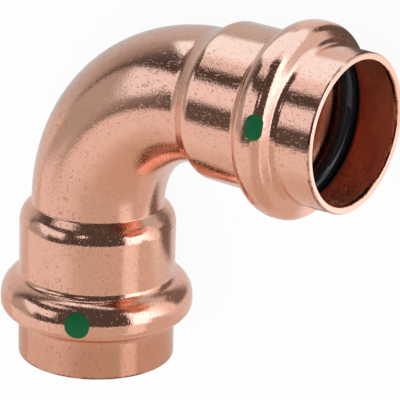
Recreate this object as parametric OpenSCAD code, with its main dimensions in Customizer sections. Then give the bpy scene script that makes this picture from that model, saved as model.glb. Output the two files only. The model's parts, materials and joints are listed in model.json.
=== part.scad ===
// Press fit pipe elbow: a copper tube bent through a right angle, with a socket formed at each end.
// Each socket has a guide for the pipe at its mouth, a rolled bead that holds a rubber seal ring, and
// a plain sleeve that ends in a shoulder. A painted spot on each bead marks the kind of seal.
// The elbow lies on its side as it comes to rest, on both beads and on the underside of the bend.

/* [Pipe socket] */
// Outside diameter of the pipe that each socket takes
pipe_d = 22; // [15:0.5:28]
// Clearance between the pipe and the bore of the socket, on the diameter
pipe_clearance = 0.2; // [0.1:0.05:0.4]
// Thickness of the copper wall
wall = 1.15; // [0.9:0.05:1.5]
// Depth of the socket, from its mouth to the start of the shoulder
socket_depth = 22; // [20:0.1:30]
// Rounding of the inner and outer edges of the mouth
rim_r = 0.35; // [0.2:0.05:0.4]

/* [Bead and seal ring] */
// Thickness of the seal ring
seal_d = 3; // [2.4:0.1:3.6]
// How far the seal ring stands out of its groove into the bore
seal_lip = 0.2; // [0.05:0.05:0.25]
// Room between the seal ring and its groove
seal_gap = 0.05; // [0.02:0.01:0.15]
// From the mouth to the middle of the seal ring
bead_at = 9.8; // [8.5:0.1:12]
// Width of the flat crest, from the middle of the seal ring towards the mouth
crest_flat = 0.4; // [0.1:0.05:0.8]
// Rounding of the bead on the side of the mouth, on the outside
guide_round = 2.5; // [2.3:0.05:3]
// Rounding of the bead on the side of the bend, on the outside
sleeve_round = 3.05; // [2.7:0.05:3.4]
// Length of the bead's foot on the side of the mouth, from the middle of the seal ring to the plain guide
guide_foot = 4.16; // [3.8:0.01:5]
// Length of the bead's foot on the side of the bend, from the middle of the seal ring to the plain sleeve
sleeve_foot = 4.64; // [4.2:0.01:5.4]

/* [Bend] */
// Radius of the bend, to the middle of its tube
bend_r = 22.1; // [18:0.1:30]
// Step from the sleeve down to the tube of the bend, on the radius
neck_step = 1.85; // [1.2:0.05:2.5]
// Slope of the shoulder: its fall on the radius for each millimetre of length
shoulder_slope = 0.75; // [0.5:0.05:1.2]
// Rounding of the shoulder where it leaves the sleeve, on the inside
shoulder_r = 1; // [0.6:0.1:1.8]
// Fillet between the shoulder and the tube of the bend
throat_fillet = 0.5; // [0.3:0.1:1]

/* [Paint marks] */
// Thickness of the paint
paint = 0.08; // [0.04:0.02:0.2]
// Length of each mark around the bead
mark_around = 3.9; // [3:0.1:5]
// Length of the front mark across the bead
front_mark_across = 4.2; // [2:0.1:4.4]
// Turn of the front mark about its socket
front_mark_turn = 64; // [0:1:180]
// Lean of the front mark from the crest of the bead towards the mouth
front_mark_lean = -8; // [-15:1:10]
// Length of the right mark across the bead
right_mark_across = 2.6; // [2:0.1:3.4]
// Turn of the right mark about its socket
right_mark_turn = 168; // [90:1:270]
// Lean of the right mark from the crest of the bead towards the mouth
right_mark_lean = 33; // [0:1:34]

/* [Hidden] */
$fn = 96;
bore_r = (pipe_d + pipe_clearance) / 2;
sleeve_r = bore_r + wall;
tube_r = sleeve_r - neck_step;

// Bead: a flat crest over the seal ring, then on each side a rounding and a fillet, tangent to each other
seal_r = bore_r - seal_lip + seal_d / 2;
crest_r = seal_r + seal_d / 2 + seal_gap + wall;
bead_rise = crest_r - sleeve_r;
guide_run = guide_foot - crest_flat;
function flank_r(run) = (run ^ 2 + bead_rise ^ 2) / (2 * bead_rise);
guide_fillet = flank_r(guide_run) - guide_round;
sleeve_fillet = flank_r(sleeve_foot) - sleeve_round;
guide_ring_r = crest_r - guide_round;
sleeve_ring_r = crest_r - sleeve_round;

// Shoulder: a round edge, a cone and a fillet, each tangent to the next
edge_r = shoulder_r + wall;
slope_cos = cos(atan(shoulder_slope));
slope_sin = sin(atan(shoulder_slope));
cone_drop = neck_step - (edge_r + throat_fillet) * (1 - slope_cos);
shoulder_run = (edge_r + throat_fillet) * slope_sin + cone_drop / shoulder_slope;

// Heights along a socket, whose mouth is at zero
bead_z = -bead_at;
shoulder_z = -socket_depth;
bend_z = shoulder_z - shoulder_run;
leg_len = bend_r - bend_z;

// Resting place. The tilt is the one at which both beads and the bend touch the ground together.
ring_arm = leg_len - bead_at;
lift_arm = ring_arm / sqrt(2) - (sqrt(2) - 1) * bend_r;
drop_arm = tube_r - sleeve_round;
balance = lift_arm * drop_arm;
span_sq = lift_arm ^ 2 + sleeve_ring_r ^ 2 / 2;
tilt_sine = (sqrt(balance ^ 2 + span_sq * (sleeve_ring_r ^ 2 - drop_arm ^ 2)) - balance) / span_sq;
tilt = asin(tilt_sine);
rest_z = tube_r - (sqrt(2) - 1) * bend_r * tilt_sine;

// How far a ring on a socket reaches, where the socket's axis has the cosine c with the way looked
function ring_reach(arm, ring_r, round_r, c) = arm * c + ring_r * sqrt(1 - c ^ 2) + round_r;
function leg_reach(c) = max(
    ring_reach(leg_len - rim_r, sleeve_r - rim_r, rim_r, c),
    ring_reach(ring_arm + crest_flat, guide_ring_r, guide_round, c),
    ring_reach(ring_arm, sleeve_ring_r, sleeve_round, c)
);
out_reach = leg_reach((1 + cos(tilt)) / 2);
side_reach = leg_reach((1 - cos(tilt)) / 2);
rest_x = (side_reach - out_reach) / 2;

// Part of a profile between two heights, out to a radius
module slice(z0, z1, r) {
    polygon([[0, z0], [r, z0], [r, z1], [0, z1]]);
}

// Part of a profile under an arc that bulges outwards
module round_slice(z0, z1, r, z, arc) {
    intersection() {
        slice(z0, z1, r + 2 * arc);
        union() {
            slice(z0, z1, r);
            translate([r, z])
                circle(arc);
        }
    }
}

// Part of a profile under an arc that bulges towards the axis
module hollow_slice(z0, z1, r, z, arc) {
    difference() {
        slice(z0, z1, r);
        translate([r, z])
            circle(arc);
    }
}

// Half section of the space inside the formed tube's surface, the surface moved in by inset
module formed(inset) {
    throat = throat_fillet + inset;
    throat_r = tube_r + throat_fillet;
    throat_end = bend_z + throat * slope_sin;
    edge = edge_r - inset;
    cone_end = shoulder_z - edge * slope_sin;
    hollow_slice(bend_z, throat_end, throat_r, bend_z, throat);
    polygon([
        [0, throat_end],
        [throat_r - throat * slope_cos, throat_end],
        [sleeve_r - edge_r + edge * slope_cos, cone_end],
        [0, cone_end]
    ]);
    round_slice(cone_end, shoulder_z, sleeve_r - edge_r, shoulder_z, edge);

    sleeve_end = bead_z - sleeve_foot;
    bead_start = bead_z - sleeve_foot * (sleeve_round - inset) / (sleeve_round + sleeve_fillet);
    crest_end = bead_z + crest_flat;
    bead_end = crest_end + guide_run * (guide_round - inset) / (guide_round + guide_fillet);
    guide_start = bead_z + guide_foot;
    slice(shoulder_z, sleeve_end, sleeve_r - inset);
    hollow_slice(sleeve_end, bead_start, sleeve_r + sleeve_fillet, sleeve_end, sleeve_fillet + inset);
    round_slice(bead_start, bead_z, sleeve_ring_r, bead_z, sleeve_round - inset);
    slice(bead_z, crest_end, crest_r - inset);
    round_slice(crest_end, bead_end, guide_ring_r, crest_end, guide_round - inset);
    hollow_slice(bead_end, guide_start, sleeve_r + guide_fillet, guide_start, guide_fillet + inset);
    slice(guide_start, -rim_r, sleeve_r - inset);
}

// Half section of the socket's wall
module socket_section() {
    difference() {
        union() {
            formed(0);
            round_slice(-rim_r, 0, sleeve_r - rim_r, -rim_r, rim_r);
        }
        formed(wall);
        hollow_slice(-rim_r, 0, bore_r + rim_r, -rim_r, rim_r);
    }
}

// Places a piece of a socket on the leg that faces front, or on the one that faces right
module on_front() {
    rotate([90, 0, 0])
        translate([0, 0, leg_len])
            children();
}

module on_right() {
    rotate([0, 90, 0])
        translate([0, 0, leg_len])
            children();
}

// Lays the fitting down from the plane of its legs
module at_rest() {
    translate([rest_x, -rest_x, rest_z])
        rotate(a = -tilt, v = [1, 1, 0])
            children();
}

module bend() {
    translate([bend_r, -bend_r, 0])
        rotate([0, 0, 90])
            rotate_extrude(angle = 90)
                translate([bend_r, 0])
                    difference() {
                        circle(tube_r);
                        circle(tube_r - wall);
                    }
}

module socket() {
    rotate_extrude()
        socket_section();
}

module seal() {
    rotate_extrude()
        translate([seal_r, bead_z])
            circle(d = seal_d);
}

// Outline of a mark: a spot with round ends
module spot(across, around) {
    round_d = min(across, around);
    spread = [across - round_d, around - round_d];
    for (end = [-1, 1])
        translate(end * spread / 2)
            circle(d = round_d);
    if (across > around)
        square([spread[0], round_d], center = true);
    if (around > across)
        square([round_d, spread[1]], center = true);
}

// Film of paint on the bead, under a spot that is pressed on square to the surface
module mark(across, turn, lean) {
    intersection() {
        rotate_extrude()
            difference() {
                formed(-paint);
                formed(0);
            }
        rotate([0, 0, turn])
            translate([seal_r, 0, bead_z])
                rotate([0, 90 - lean, 0])
                    linear_extrude(crest_r - sleeve_ring_r + 2 * paint)
                        spot(across, mark_around);
    }
}

module elbow() {
    color("#d99a80")
        at_rest() {
            bend();
            on_front()
                socket();
            on_right()
                socket();
        }
}

module front_seal() {
    color("#1c1c1e")
        at_rest()
            on_front()
                seal();
}

module right_seal() {
    color("#1c1c1e")
        at_rest()
            on_right()
                seal();
}

module front_mark() {
    color("#0d6339")
        at_rest()
            on_front()
                mark(front_mark_across, front_mark_turn, front_mark_lean);
}

module right_mark() {
    color("#0d6339")
        at_rest()
            on_right()
                mark(right_mark_across, right_mark_turn, right_mark_lean);
}

elbow();
front_seal();
right_seal();
front_mark();
right_mark();
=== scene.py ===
import json
from math import asin, cos, degrees, pi, radians, sin, tan

import bpy
import numpy as np
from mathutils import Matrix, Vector


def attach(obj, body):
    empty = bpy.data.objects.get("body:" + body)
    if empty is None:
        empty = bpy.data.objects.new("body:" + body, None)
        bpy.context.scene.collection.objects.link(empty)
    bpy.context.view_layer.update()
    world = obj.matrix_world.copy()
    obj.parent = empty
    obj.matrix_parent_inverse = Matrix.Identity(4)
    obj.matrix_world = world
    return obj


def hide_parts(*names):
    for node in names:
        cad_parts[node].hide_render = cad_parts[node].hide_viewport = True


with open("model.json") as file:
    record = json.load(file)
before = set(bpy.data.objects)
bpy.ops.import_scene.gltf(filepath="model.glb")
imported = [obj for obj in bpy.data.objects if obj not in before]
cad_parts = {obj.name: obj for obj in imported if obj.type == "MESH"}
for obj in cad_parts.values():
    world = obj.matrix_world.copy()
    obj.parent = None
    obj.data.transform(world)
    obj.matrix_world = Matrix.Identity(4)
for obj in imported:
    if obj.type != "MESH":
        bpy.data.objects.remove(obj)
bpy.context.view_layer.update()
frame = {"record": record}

# Copper elbow. One drawn tube of bright copper, bent through a right angle, with both ends pushed out
# into sockets: a plain guide at the mouth, a rolled bead for the seal ring, a sleeve and a shoulder.
# The wall keeps its thickness all along, so the inner skin follows the outer one.
mm = 0.001

# Sizes in millimetres. The bead has a steep side towards the guide and a round one towards the sleeve.
wall = 1.15
rim_r = 0.35
seal_ring_r = 12.4
bead_at = 9.8
crest_r = 15.1
crest_flat = 0.8
guide_round = 1.95
guide_foot = 4.16
guide_lean = radians(66)
sleeve_round = 3.8
sleeve_foot = 4.45
socket_depth = 22.0
right_shoulder = {"edge": 2.6, "lean": radians(33), "throat": 2.6}
front_shoulder = {"edge": 3.6, "lean": radians(45), "throat": 0.4}
tube_r = 10.4
bend_r = 22.1
leg_straight = 25.35

# The mouth is as bright inside as outside down to bright_depth, and just below it the inside turns duller,
# with a painted shade and red reflection of the bore.
bright_depth = 0.7
lining_step = 0.2

# Fineness of the mesh: points in a ring, degrees between the rings of an arc, and rings in the bend.
turns_around = 160
rim_step, outer_step, inner_step = 10, 4, 5
outer_bend_rings, inner_bend_rings = 60, 40

# The two sockets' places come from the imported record, whose bores lie a little inside the mouths.
mount_depth = 1.0
bores = {m["name"]: m for m in frame["record"]["mounts"]}
right_way = Vector(bores["right_socket"]["axis"]).normalized()
front_way = Vector(bores["front_socket"]["axis"]).normalized()
right_mouth = Vector(bores["right_socket"]["pos_m"]) + right_way * mount_depth * mm
front_mouth = Vector(bores["front_socket"]["pos_m"]) + front_way * mount_depth * mm
bore_r = bores["right_socket"]["dims"]["r_mm"]
sleeve_r = bore_r + wall
bead_rise = crest_r - sleeve_r
guide_run = guide_foot - crest_flat
guide_bend = (guide_run * sin(guide_lean) - bead_rise * cos(guide_lean)) / (1 - cos(guide_lean))
guide_ring_r = crest_r - guide_round
sleeve_ring_r = crest_r - sleeve_round
spread = right_way - front_way
leg_len = (right_mouth - front_mouth).dot(spread) / spread.length_squared
corner = right_mouth - right_way * leg_len
face_way = front_way.cross(right_way).normalized()
bend_centre = corner + (right_way + front_way) * bend_r * mm
line_len = 2 * leg_straight + bend_r * pi / 2


def arc(at, out, radius, start, end, step, depth, hollow=False):
    """Points (distance from the mouth, radius, lean of the surface) of an arc, at a depth in the wall."""
    count = max(2, round(degrees(abs(end - start)) / step))
    reach = -(radius + depth) if hollow else radius - depth
    leans = [start + (end - start) * i / count for i in range(count + 1)]
    return [(at + reach * sin(lean), out + reach * cos(lean), lean) for lean in leans]


def socket_skin(shoulder, depth, step):
    """One skin of a socket from behind the rim to the bend, at a depth in the wall."""
    guide_fillet = guide_bend - guide_round
    guide_end = bead_at - guide_foot
    sleeve_bend = (sleeve_foot ** 2 + bead_rise ** 2) / (2 * bead_rise)
    sleeve_lean = asin(sleeve_foot / sleeve_bend)
    sleeve_fillet = sleeve_bend - sleeve_round
    sleeve_start = bead_at + sleeve_foot
    points = arc(guide_end, sleeve_r + guide_fillet, guide_fillet, 0, -guide_lean, step, depth, True)
    points += arc(bead_at - crest_flat, guide_ring_r, guide_round, -guide_lean, 0, step, depth)
    points += arc(bead_at, sleeve_ring_r, sleeve_round, 0, sleeve_lean, step, depth)
    foot_out = sleeve_r + sleeve_fillet
    points += arc(sleeve_start, foot_out, sleeve_fillet, sleeve_lean, 0, step, depth, True)[1:]

    edge, lean, throat = shoulder["edge"], shoulder["lean"], shoulder["throat"]
    cone_at = socket_depth + edge * sin(lean)
    cone_out = sleeve_r - edge + edge * cos(lean)
    neck = cone_at + (cone_out - tube_r - throat * (1 - cos(lean))) / tan(lean) + throat * sin(lean)
    points += arc(socket_depth, sleeve_r - edge, edge, 0, lean, step, depth)
    points += arc(neck, tube_r + throat, throat, lean, 0, step, depth, True)
    return points


def rim(out, start, end):
    """The rounded edge of the mouth, around a circle in the wall."""
    return arc(rim_r, out, rim_r, start, end, rim_step, 0)


def tube_rows(right_rows, front_rows, radius, steps, facing):
    """Rows of one skin of the whole tube, by their distance along the middle line from the right mouth."""
    first, last = right_rows[-1][0], line_len - front_rows[-1][0]
    bend = [(first + (last - first) * k / steps, radius, facing) for k in range(1, steps)]
    return right_rows + bend + [(line_len - at, out, -lean) for at, out, lean in reversed(front_rows)]


class Skin:
    """Rings of points on the tube, with their normals and the place each had before the tube was bent."""

    def __init__(self):
        self.points, self.normals, self.unbent, self.inside = [], [], [], []

    def ring(self, station, radius, lean):
        """Adds the ring at a distance along the middle line, with the lean of the surface there."""
        bent = min(max(station - leg_straight, 0), bend_r * pi / 2)
        swing = bent / bend_r
        side = -front_way * cos(swing) - right_way * sin(swing)
        along = front_way * sin(swing) - right_way * cos(swing)
        centre = bend_centre + (side * bend_r + along * (station - leg_straight - bent)) * mm
        faces_in = cos(lean) < -0.5
        from_mouth = min(station, line_len - station)
        for k in range(turns_around):
            turn = 2 * pi * k / turns_around
            spoke = side * cos(turn) + face_way * sin(turn)
            self.points.append(centre + spoke * radius * mm)
            self.normals.append(spoke * cos(lean) + along * sin(lean))
            self.unbent.append((radius * cos(turn), radius * sin(turn), station))
            self.inside.append(faces_in and from_mouth > bright_depth)


def closed_mesh(name, points, normals, rings, around):
    """A mesh of rings of points, closed both ways, that shades by the given normals."""
    faces = []
    for i in range(rings):
        for k in range(around):
            this, after = i * around, (i + 1) % rings * around
            beside = (k + 1) % around
            faces.append((this + k, after + k, after + beside, this + beside))
    mesh = bpy.data.meshes.new(name)
    mesh.from_pydata([tuple(p) for p in points], [], faces)
    mesh.update()
    mesh.polygons.foreach_set("use_smooth", [True] * len(faces))
    mesh.normals_split_custom_set_from_vertices([tuple(n) for n in normals])
    piece = bpy.data.objects.new(name, mesh)
    bpy.context.scene.collection.objects.link(piece)
    return piece


def keep_attribute(piece, name, kind, field, rows):
    """Keeps a value for each point of a piece, for its material to read."""
    values = np.array(rows, np.float32).ravel()
    piece.data.attributes.new(name, kind, "POINT").data.foreach_set(field, values)


shoulders = [right_shoulder, front_shoulder]
outer_rim = rim(sleeve_r - rim_r, -pi / 2, 0)
inner_rim = rim(bore_r + rim_r, -pi / 2, -pi)
inner_rim += [(at, bore_r, pi) for at in (bright_depth, bright_depth + lining_step)]
outer, inner = [], []
for shoulder in shoulders:
    outer.append(outer_rim + socket_skin(shoulder, 0, outer_step))
    lining = socket_skin(shoulder, wall, inner_step)
    inner.append(inner_rim + [(at, out, lean + pi) for at, out, lean in lining])
outer_rows = tube_rows(*outer, tube_r, outer_bend_rings, 0)
inner_rows = tube_rows(*inner, tube_r - wall, inner_bend_rings, pi)
skin = Skin()
for row in outer_rows + inner_rows[::-1]:
    skin.ring(*row)
ring_count = len(skin.points) // turns_around
elbow = closed_mesh("copper_elbow", skin.points, skin.normals, ring_count, turns_around)
keep_attribute(elbow, "unbent", "FLOAT_VECTOR", "vector", skin.unbent)
keep_attribute(elbow, "inside", "FLOAT", "value", skin.inside)


class Shade:
    """A node socket that Python's operators turn into shader nodes."""

    def __init__(self, tree, socket=None):
        self.tree, self.socket = tree, socket

    def node(self, kind, settings=None, inputs=None, output=0):
        """Any node: its settings first, then its values and links. The result is one of its outputs."""
        made = self.tree.nodes.new(kind)
        for name, value in (settings or {}).items():
            setattr(made, name, value)
        for name, value in (inputs or {}).items():
            if isinstance(value, Shade):
                self.tree.links.new(value.socket, made.inputs[name])
            else:
                made.inputs[name].default_value = value
        return Shade(self.tree, made.outputs[output] if made.outputs else None)

    def math(self, operation, *others):
        return self.node("ShaderNodeMath", {"operation": operation}, dict(enumerate((self, *others))))

    def __add__(self, other):
        return self.math("ADD", other)

    def __sub__(self, other):
        return self.math("SUBTRACT", other)

    def __rsub__(self, other):
        return self.math("MULTIPLY_ADD", -1.0, other)

    def __mul__(self, other):
        return self.math("MULTIPLY", other)

    __radd__, __rmul__ = __add__, __mul__

    def band(self, low, high):
        """0 at low and 1 at high, with a soft step from one to the other."""
        limits = {"From Min": low, "From Max": high, "Value": self}
        return self.node("ShaderNodeMapRange", {"interpolation_type": "SMOOTHSTEP"}, limits)

    def colours(self, first, second):
        """A mix of two colours by this value. The Mix node's colour sockets are known by their numbers."""
        return self.node("ShaderNodeMix", {"data_type": "RGBA"}, {0: self, 6: first, 7: second}, 2)

    def scaled(self, x, y, z):
        """This vector with its three parts multiplied."""
        return self.node("ShaderNodeVectorMath", {"operation": "MULTIPLY"}, {0: self, 1: (x, y, z)})

    def along(self, way):
        """How far this vector reaches along a direction."""
        both = {0: self, 1: tuple(way)}
        return self.node("ShaderNodeVectorMath", {"operation": "DOT_PRODUCT"}, both, "Value")

    def noise(self, scale, detail=2.0, roughness=0.5):
        inputs = {"Vector": self, "Scale": scale, "Detail": detail, "Roughness": roughness}
        return self.node("ShaderNodeTexNoise", None, inputs)

    def specks(self, scale, share, size):
        """Scattered round specks at a share of the points of a cell pattern, 1 at the middle of each."""
        cells = {"Vector": self, "Scale": scale}
        chance = self.node("ShaderNodeTexVoronoi", None, cells, "Color").along((1, 0, 0))
        distance = self.node("ShaderNodeTexVoronoi", None, cells, "Distance")
        return (1 - distance.band(0.3 * size, size)) * (1 - chance.band(1.1 * share, 1.2 * share))


def new_material(name):
    """A material with an empty tree, and a Shade to build on."""
    material = bpy.data.materials.new(name)
    material.use_nodes = True
    material.node_tree.nodes.clear()
    return material, Shade(material.node_tree)


def finish_material(material, shader):
    """Links the finished shader to the material's output."""
    shader.node("ShaderNodeOutputMaterial", None, {"Surface": shader})
    return material


# Colours of the copper. The front guide's darker copper is painted shade; it starts and is full at
# distances from its mouth.
copper_bright = (0.87, 0.485, 0.362, 1)
copper_smudged = (0.74, 0.42, 0.30, 1)
copper_guide_painted_shade = (0.71, 0.36, 0.245, 1)
copper_dulled = (0.52, 0.28, 0.19, 1)
scratch_brown = (0.26, 0.13, 0.09, 1)
mouth_line_brown = (0.16, 0.08, 0.06, 1)
# Painted shade and red reflection of the bore, for the inside
inside_painted_red = (1.0, 0.48, 0.30, 1)
inside_painted_shade = (0.66, 0.26, 0.15, 1)
guide_shade_start, guide_shade_full = 9, 4
grain_height = 0.017


def copper_finish():
    """Bright drawn copper with fine grain and wear, with painted shade on the front guide, and duller
    inside, where it is painted redder and darker as the bore's shade and red reflection.

    The patterns lie on the tube as it was before it was bent, in millimetres, with z along its middle line.
    """
    material, build = new_material("bright_copper")
    place = build.node("ShaderNodeAttribute", {"attribute_name": "unbent"}, output="Vector")
    inside = build.node("ShaderNodeAttribute", {"attribute_name": "inside"}, output="Fac")
    station = place.along((0, 0, 1))

    # Grain of the drawn surface, dull places and smudges, and the painted shade of the front guide
    grain = place.noise(3.4, 2.0, 0.65)
    peel = place.noise(1.3, 1.0)
    dull = place.noise(2.2, 3.0, 0.7).band(0.53, 0.70)
    smudge = place.noise(0.22, 4.0, 0.6).band(0.5, 0.75)
    # Mottle of the painted shade inside the bore
    inside_shade_mottle = place.scaled(0.5, 0.5, 1.0).noise(0.3, 3.0, 0.6).band(0.42, 0.66)
    guide_painted_shade = station.band(line_len - guide_shade_start, line_len - guide_shade_full)

    # Short scratches, most of them in worn places, pits, and dull flecks drawn out along the tube
    line = 1 - (place.noise(1.5, 1.0) - 0.5).math("ABSOLUTE").band(0.02, 0.07)
    broken = place.scaled(1.3, 1.2, 1.1).noise(1.0, 1.0).band(0.6, 0.66)
    worn = place.noise(0.16, 2.0).band(0.46, 0.6)
    scratches = line * broken * (0.15 + worn * 0.85)
    pits = place.specks(1.3, 0.3, 0.13)
    marks = (scratches * 0.5 + pits * 0.45).math("MINIMUM", 1.0)
    flecks = place.scaled(1.15, 1.15, 0.5).noise(3.0, 2.0, 0.6).band(0.58, 0.68)

    # Dark line that runs in pieces round each mouth
    from_mouth = station.math("MINIMUM", line_len - station)
    ragged = from_mouth + place.noise(1.6, 3.0, 0.7) * 0.7
    edge_line = ragged.band(0.42, 0.55) * (1 - ragged.band(0.62, 0.85))
    mouth_dark_line = edge_line * place.noise(0.35, 2.0).band(0.34, 0.56)

    base = (smudge * 0.45).colours(copper_bright, copper_smudged)
    # Painted shade: the front guide is a darker, deeper copper all round
    base = guide_painted_shade.colours(base, copper_guide_painted_shade)
    base = (dull * 0.3).colours(base, copper_dulled)
    base = (marks * 0.65).colours(base, scratch_brown)
    base = (mouth_dark_line * 0.9).colours(base, mouth_line_brown)
    # Inside the bore the colour is painted redder and darker: painted shade and red reflection
    base = inside.colours(base, (inside_shade_mottle * 0.6).colours(inside_painted_red, inside_painted_shade))
    height = grain + peel * 0.2 - marks * 0.4
    relief = {"Strength": 1.0, "Distance": grain_height * mm, "Height": height}
    bump = build.node("ShaderNodeBump", None, relief)
    rough = 0.05 + smudge * 0.03 + dull * 0.08 + flecks * 0.45 + marks * 0.2 + inside * 0.38
    inputs = {"Base Color": base, "Metallic": 1.0, "Roughness": rough, "Normal": bump}
    return finish_material(material, build.node("ShaderNodeBsdfPrincipled", None, inputs))


elbow.data.materials.append(copper_finish())
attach(elbow, "root")
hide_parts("elbow")

# Seal rings. Moulded black EPDM rings of round section, lightly greased, one in the groove of each bead.
# They are pushed in by hand, stand a little proud of the bore, and keep a fine parting line inside.
seal_d = 3.0
seal_turns, seal_section = 192, 48
parting_h, parting_w = 0.05, radians(5)
rubber_black = (0.014, 0.025, 0.032, 1)
rubber_dusty = (0.026, 0.04, 0.048, 1)
rubber_height = 0.004


def rubber_finish():
    """Smooth moulded rubber under a thin film of grease, with a trace of dust."""
    material, build = new_material("greased_rubber")
    place = build.node("ShaderNodeTexCoord", output="Object").scaled(1 / mm, 1 / mm, 1 / mm)
    dust = place.noise(1.6, 4.0, 0.65).band(0.45, 0.8)
    skin_height = place.noise(4.0, 3.0)
    relief = {"Strength": 0.6, "Distance": rubber_height * mm, "Height": skin_height}
    bump = build.node("ShaderNodeBump", None, relief)
    base = dust.colours(rubber_black, rubber_dusty)
    inputs = {"Base Color": base, "Roughness": 0.09 + dust * 0.1, "Normal": bump}
    return finish_material(material, build.node("ShaderNodeBsdfPrincipled", None, inputs))


def seal_ring(name, node, mouth, way, material):
    """A ring about a socket's axis, under the crest of its bead."""
    side = way.orthogonal().normalized()
    other = way.cross(side)
    centre = mouth - way * bead_at * mm
    points, normals = [], []
    for i in range(seal_turns):
        turn = 2 * pi * i / seal_turns
        spoke = side * cos(turn) + other * sin(turn)
        for k in range(seal_section):
            lean = 2 * pi * k / seal_section
            from_bore = abs(lean - pi)
            radius = seal_d / 2 - parting_h * min(1, from_bore / parting_w)
            normal = spoke * cos(lean) + way * sin(lean)
            points.append(centre + (spoke * seal_ring_r + normal * radius) * mm)
            normals.append(normal)
    ring = closed_mesh(name, points, normals, seal_turns, seal_section)
    ring.data.materials.append(material)
    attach(ring, "root")
    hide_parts(node)


rubber = rubber_finish()
seal_ring("front_seal_ring", "front_seal", front_mouth, front_way, rubber)
seal_ring("right_seal_ring", "right_seal", right_mouth, right_way, rubber)

# Paint marks. A thin spot of flat green paint pressed onto each bead, which shows what the seal is for.
# The film follows the bead and thins out to a round edge.
paint = 0.08
paint_tuck = 0.01
mark_around = 3.9
front_spot = {"across": 4.2, "turn": radians(64), "lean": radians(-8)}
right_spot = {"across": 2.6, "turn": radians(168), "lean": radians(33)}
mark_rings, mark_points = 14, 72
thinnest, edge_power = 0.1, 16
meet_steps, least_slope = 8, 0.2
paint_green = (0.003, 0.09, 0.027, 1)
paint_thick_green = (0.004, 0.11, 0.034, 1)
paint_height = 0.006


def paint_finish():
    """Flat green marking paint, a little uneven."""
    material, build = new_material("green_marking_paint")
    place = build.node("ShaderNodeTexCoord", output="Object").scaled(1 / mm, 1 / mm, 1 / mm)
    cover = place.noise(1.2, 3.0, 0.6).band(0.3, 0.75)
    brushed = place.noise(3.0, 2.0)
    relief = {"Strength": 0.5, "Distance": paint_height * mm, "Height": brushed}
    bump = build.node("ShaderNodeBump", None, relief)
    base = cover.colours(paint_green, paint_thick_green)
    rough = 0.55 + cover * 0.1
    inputs = {"Base Color": base, "Roughness": rough, "Normal": bump, "Specular IOR Level": 0.25}
    return finish_material(material, build.node("ShaderNodeBsdfPrincipled", None, inputs))


def mark(name, node, mouth, ways, spot, material):
    """A film on the bead under a spot with round ends, at a turn about the socket and a lean to the mouth.

    The ways are the socket's own, and the two across it from which and towards which the spot turns.
    """
    way, first, second = ways
    across, turn, lean = spot["across"], spot["turn"], spot["lean"]
    spoke = first * cos(turn) + second * sin(turn)
    tangent = second * cos(turn) - first * sin(turn)
    press = spoke * cos(lean) + way * sin(lean)
    slide = way * cos(lean) - spoke * sin(lean)
    centre = mouth - way * bead_at * mm
    round_r = min(across, mark_around) / 2
    stretch = Vector(((across - 2 * round_r) / 2, (mark_around - 2 * round_r) / 2))

    def on_bead(u, v, film):
        """The point of the film over the place u across and v around, found along the press direction."""
        high = sleeve_round
        for _ in range(meet_steps):
            offset = spoke * seal_ring_r + slide * u + tangent * v + press * high
            ahead = offset.dot(way)
            out = (offset - way * ahead).normalized()
            if ahead > crest_flat:
                gap, arc_r = offset - way * crest_flat - out * guide_ring_r, guide_round
            else:
                gap, arc_r = offset - way * max(0, ahead) - out * sleeve_ring_r, sleeve_round
            high += (arc_r + film - gap.length) / max(least_slope, gap.normalized().dot(press))
        return centre + offset * mm

    points, faces = [on_bead(0, 0, paint)], []
    for ring in range(1, mark_rings + 1):
        share = ring / (mark_rings - 1)
        film = -paint_tuck if share > 1 else paint * max(thinnest, 1 - share ** edge_power)
        for k in range(mark_points):
            angle = 2 * pi * k / mark_points
            edge = Vector((cos(angle) * round_r, sin(angle) * round_r))
            edge.x += stretch.x if edge.x > 0 else -stretch.x
            edge.y += stretch.y if edge.y > 0 else -stretch.y
            edge *= min(1, share)
            points.append(on_bead(edge.x, edge.y, film))
    for k in range(mark_points):
        after = (k + 1) % mark_points
        faces.append((0, 1 + k, 1 + after))
        for ring in range(mark_rings - 1):
            low, high = 1 + ring * mark_points, 1 + (ring + 1) * mark_points
            faces.append((low + k, high + k, high + after, low + after))
    mesh = bpy.data.meshes.new(name)
    mesh.from_pydata([tuple(p) for p in points], [], faces)
    mesh.polygons.foreach_set("use_smooth", [True] * len(faces))
    mesh.update()
    piece = bpy.data.objects.new(name, mesh)
    bpy.context.scene.collection.objects.link(piece)
    mesh.materials.append(material)
    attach(piece, "root")
    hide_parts(node)


green = paint_finish()
up_way = -front_way
front_ways = (front_way, right_way, face_way)
right_ways = (right_way, -face_way, up_way)
mark("front_paint_mark", "front_mark", front_mouth, front_ways, front_spot, green)
mark("right_paint_mark", "right_mark", right_mouth, right_ways, right_spot, green)

# Floor. A plain white table top of matte board under the fitting, white to the camera, with a soft shadow.
# The copper mirrors painted light and shade on it, as in a light tent: bright at the right, warm in front
# and dim far behind, with painted shadows close to the fitting.
floor_half = 1.5
floor_drop = 0.00005
table_grey = (0.8, 0.8, 0.8, 1)
white = (1, 1, 1, 1)
camera_white = 0.95

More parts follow.
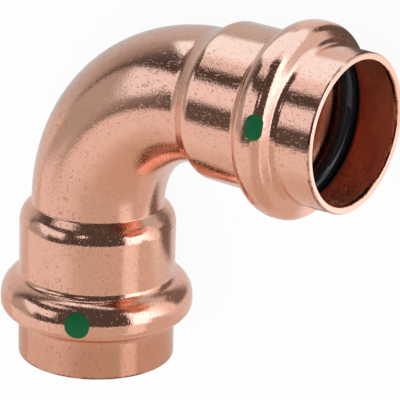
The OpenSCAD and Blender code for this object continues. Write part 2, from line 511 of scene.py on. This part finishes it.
# Painted light and shade that only the copper's reflections show. The list goes from front to back, in
# metres.
table_shades = [
    (-0.02, (0.78, 0.78, 0.78, 1)),
    (0.0, (0.74, 0.72, 0.70, 1)),
    (0.02, (0.58, 0.60, 0.60, 1)),
    (0.04, (0.44, 0.44, 0.43, 1)),
    (0.06, (0.28, 0.28, 0.27, 1)),
    (0.09, (0.17, 0.17, 0.17, 1)),
    (0.12, (0.12, 0.12, 0.12, 1)),
]
round_bend_shade = (0.62, 0.68, 0.70, 1)
front_shade = (0.74, 0.65, 0.60, 1)
right_shades = [(1.0, 0.98, 0.95, 1), (1.7, 1.8, 2.0, 1), (2.2, 2.3, 2.6, 1)]
behind_shade = (0.80, 0.82, 0.83, 1)
panel_shades = [(1.12, 1.45, 1.68, 1), (1.05, 1.12, 1.2, 1)]
inner_bend_shade = (0.15, 0.12, 0.10, 1)
between_legs_shade = (0.17, 0.13, 0.11, 1)
mouth_shade = (0.15, 0.13, 0.12, 1)

# Places and soft edges of the shades. An edge goes from where a shade starts to where it is full.
round_bend_reach, round_bend_edge = (0.038, 0.06), (-0.01, 0.01)
front_edge = (-0.03, -0.04)
right_edge, right_front_edge = (0.012, 0.02), (-0.035, -0.02)
brighter_edge, far_right_edge = (0.02, 0.07), (0.1, 0.16)
behind_edge, behind_left_edge = (0.022, 0.03), (0.01, 0.016)
panel_edge, panel_fade = (0.042, 0.045), (0.08, 0.25)
panel_way, panel_slant_edge = (0.8, 0.6, 0), (0.0096, 0.0136)
inner_bend_place, inner_bend_reach, inner_bend_depth = (0.0, -0.004), (0.002, 0.007), 0.8
legs_left_edge, legs_right_edge = (-0.004, 0.002), (0.0125, 0.016)
legs_front_edge, legs_back_edge = (-0.0235, -0.0205), (-0.0075, -0.004)
between_legs_depth = 0.9
mouth_places = [(0.0265, 0.0255), (0.0285, 0.0305), (0.0305, 0.0355)]
mouth_reach = (0.003, 0.006)

bpy.ops.mesh.primitive_plane_add(size=2 * floor_half, location=(0, 0, -floor_drop))
floor = bpy.context.object
floor.name = "white_floor"
material, build = new_material("white_table")
seen = build.node("ShaderNodeLightPath", output="Is Camera Ray")
mirrored = build.node("ShaderNodeLightPath", output="Is Glossy Ray")
through = build.node("ShaderNodeLightPath", output="Is Transmission Ray")
place = build.node("ShaderNodeTexCoord", output="Object")
back = place.along((0, 1, 0))
side = place.along((1, 0, 0))


def near_to(x, y, reach):
    """1 close to a place on the table and 0 out of reach of it."""
    both = {0: place, 1: (x, y, 0)}
    return 1 - place.node("ShaderNodeVectorMath", {"operation": "DISTANCE"}, both, "Value").band(*reach)


table = table_shades[0][1]
for (near, _), (far, far_shade) in zip(table_shades, table_shades[1:]):
    table = back.band(near, far).colours(table, far_shade)
round_bend = near_to(bend_centre.x, bend_centre.y, round_bend_reach) * back.band(*round_bend_edge)
table = round_bend.colours(table, round_bend_shade)
table = back.band(*front_edge).colours(table, front_shade)

# Painted light: at the right the table brightens outwards, past white; further back it is paler, with a
# painted bright patch behind.
far_right = side.band(*far_right_edge)
bright = side.band(*brighter_edge).colours(right_shades[0], right_shades[1])
bright = far_right.colours(bright, right_shades[2])
table = (side.band(*right_edge) * back.band(*right_front_edge)).colours(table, bright)
near_right = 1 - far_right
behind = side.band(*behind_left_edge) * near_right * back.band(*behind_edge)
table = behind.colours(table, behind_shade)
painted_light_patch = place.along(panel_way).band(*panel_slant_edge) * back.band(*panel_edge) * near_right
table = painted_light_patch.colours(table, back.band(*panel_fade).colours(*panel_shades))

# Painted shadows of the fitting on the table: at the inner side of the bend, between the legs, and beside
# the right mouth
inner_bend = near_to(*inner_bend_place, inner_bend_reach)
table = (inner_bend * inner_bend_depth).colours(table, inner_bend_shade)
between_legs = side.band(*legs_left_edge) * (1 - side.band(*legs_right_edge))
between_legs = between_legs * back.band(*legs_front_edge) * (1 - back.band(*legs_back_edge))
table = (between_legs * between_legs_depth).colours(table, between_legs_shade)
for x, y in mouth_places:
    table = near_to(x, y, mouth_reach).colours(table, mouth_shade)

matte = build.node("ShaderNodeBsdfDiffuse", None, {"Color": table_grey})
glow = build.node("ShaderNodeEmission", None, {"Color": seen.colours(table, white), "Strength": 1.0})
share = seen * camera_white + mirrored.math("MAXIMUM", through)
surface = build.node("ShaderNodeMixShader", None, {0: share, 1: matte, 2: glow})
floor.data.materials.append(finish_material(material, surface))

# Studio. A dim room with one warm pale wall, towards which the front socket points, a grey glow low at the
# left, a ledge of light along the wall's edge and six soft boxes. Turn and rise, in degrees, go from the
# side of the fitting that faces up towards the right socket, and away from the front socket.
room_dark = (0.095, 0.083, 0.076, 1)
left_glow = (0.50, 0.50, 0.48, 1)
left_glow_way = (-0.981, 0, 0.196)
wall_pale = (0.89, 0.87, 0.86, 1)
wall_warm = (0.66, 0.60, 0.53, 1)
wall_deep = (0.66, 0.54, 0.44, 1)
ledge_light = (1.15, 1.12, 1.08, 1)

# Soft edges, by how far a direction reaches towards the glow, the wall or the right socket.
left_glow_edge = (0.80, 0.96)
wall_edge, wall_deep_edge, wall_warm_edge = (0.265, 0.32), (0.6, 0.98), (-0.35, 0.3)
left_wall_edge, left_wall_side = (0.17, 0.26), (-0.72, -0.85)
ledge_edge, ledge_end, ledge_side = (0.23, 0.25), (0.28, 0.3), (-0.2, 0.0)
crisp, blurred = 0.02, 0.06

# Corners of the soft boxes, and each box's light and edge
left_box = [(-70, 27), (-60, 31), (-40, 32), (-36, 30), (-38, 10), (-40, 0), (-44, -2)]
middle_box = [(-42, 31), (-14, 32), (-14, 5), (-30, 6), (-42, 14)]
high_box = [(-58, 45), (-40, 49), (-22, 53), (-10, 61), (-68, 55), (-66, 50)]
low_right_box = [(76, -42), (76, -12), (100, -12), (100, -42)]
right_box = [(79, -13), (79, 48), (112, 48), (112, -13)]
small_box = [(8, 26), (8, 37), (18, 37), (18, 26)]
soft_boxes = [
    (left_box, (1.0, 1.12, 1.25, 1), crisp),
    (middle_box, (1.0, 1.08, 1.15, 1), crisp),
    (high_box, (0.95, 1.0, 1.05, 1), crisp),
    (low_right_box, (1.03, 1.0, 0.95, 1), blurred),
    (right_box, (2.0, 2.0, 2.3, 1), crisp),
    (small_box, (1.5, 1.5, 1.6, 1), crisp),
]
world = bpy.data.worlds.new("studio")
bpy.context.scene.world = world
world.use_nodes = True
world.node_tree.nodes.clear()
room = Shade(world.node_tree)
looking = room.node("ShaderNodeTexCoord", output="Generated")
toward_wall = looking.along(front_way)
toward_right = looking.along(right_way)


def toward(turn, rise):
    """Direction at a turn and a rise."""
    turn, rise = radians(turn), radians(rise)
    flat = face_way * cos(turn) + right_way * sin(turn)
    return flat * cos(rise) + up_way * sin(rise)


def within_box(corners, soft):
    """1 between corners, each a turn and a rise, that go round without a hollow, and 0 outside."""
    ways = [toward(*corner) for corner in corners]
    middle = sum(ways, Vector())
    lit = None
    for first, second in zip(ways, ways[1:] + ways[:1]):
        edge = first.cross(second).normalized()
        edge = edge if edge.dot(middle) > 0 else -edge
        step = looking.along(edge).band(-soft, soft)
        lit = step if lit is None else lit * step
    return lit


air = looking.along(left_glow_way).band(*left_glow_edge).colours(room_dark, left_glow)
wall_shade = toward_right.band(*wall_warm_edge).colours(wall_pale, wall_warm)
wall_shade = toward_wall.band(*wall_deep_edge).colours(wall_shade, wall_deep)
left_wall = toward_wall.band(*left_wall_edge) * toward_right.band(*left_wall_side)
air = left_wall.math("MAXIMUM", toward_wall.band(*wall_edge)).colours(air, wall_shade)
ledge = toward_wall.band(*ledge_edge) * (1 - toward_wall.band(*ledge_end)) * toward_right.band(*ledge_side)
air = ledge.colours(air, ledge_light)
for corners, light, soft in soft_boxes:
    air = within_box(corners, soft).colours(air, light)
air = room.node("ShaderNodeLightPath", output="Is Camera Ray").colours(air, white)
sky = room.node("ShaderNodeBackground", None, {"Color": air, "Strength": 1.0})
room.node("ShaderNodeOutputWorld", None, {"Surface": sky})

# Fill lamp. A broad soft lamp above the fitting, which lights the paint, the rubber and the table.
# It hangs out of the camera's sight, and the copper doesn't mirror it.
fill_size = 0.6
fill_level = 2.6
fill_place = (0.1, 0.1, 0.8)
fill_tilt = radians(7)
fill = bpy.data.lights.new("fill_lamp", "AREA")
fill.size = fill_size
fill.energy = 4 * fill_size ** 2 * fill_level
fill_lamp = bpy.data.objects.new("fill_lamp", fill)
fill_lamp.location = fill_place
fill_lamp.rotation_euler = (-fill_tilt, fill_tilt, 0)
fill_lamp.visible_camera = False
fill_lamp.visible_glossy = False
bpy.context.scene.collection.objects.link(fill_lamp)

# Camera. A long lens that looks down on the fitting as it lies, at the photo's angle. Its place, turn and
# length come from a fit to the outline of the fitting.
sensor_mm, lens_mm = 36.0, 325.53
camera_place = (0.22538, 0.27597, 0.436838)
camera_turn = (-32.0354, 25.4587, -4.4383)
clip_near, clip_far = 0.01, 10.0
lens = bpy.data.cameras.new("long_lens")
lens.sensor_width = sensor_mm
lens.lens = lens_mm
lens.clip_start, lens.clip_end = clip_near, clip_far
camera = bpy.data.objects.new("camera", lens)
camera.location = camera_place
camera.rotation_euler = [radians(turn) for turn in camera_turn]
bpy.context.scene.collection.objects.link(camera)
bpy.context.scene.camera = camera
bpy.context.scene.view_settings.view_transform = "Standard"
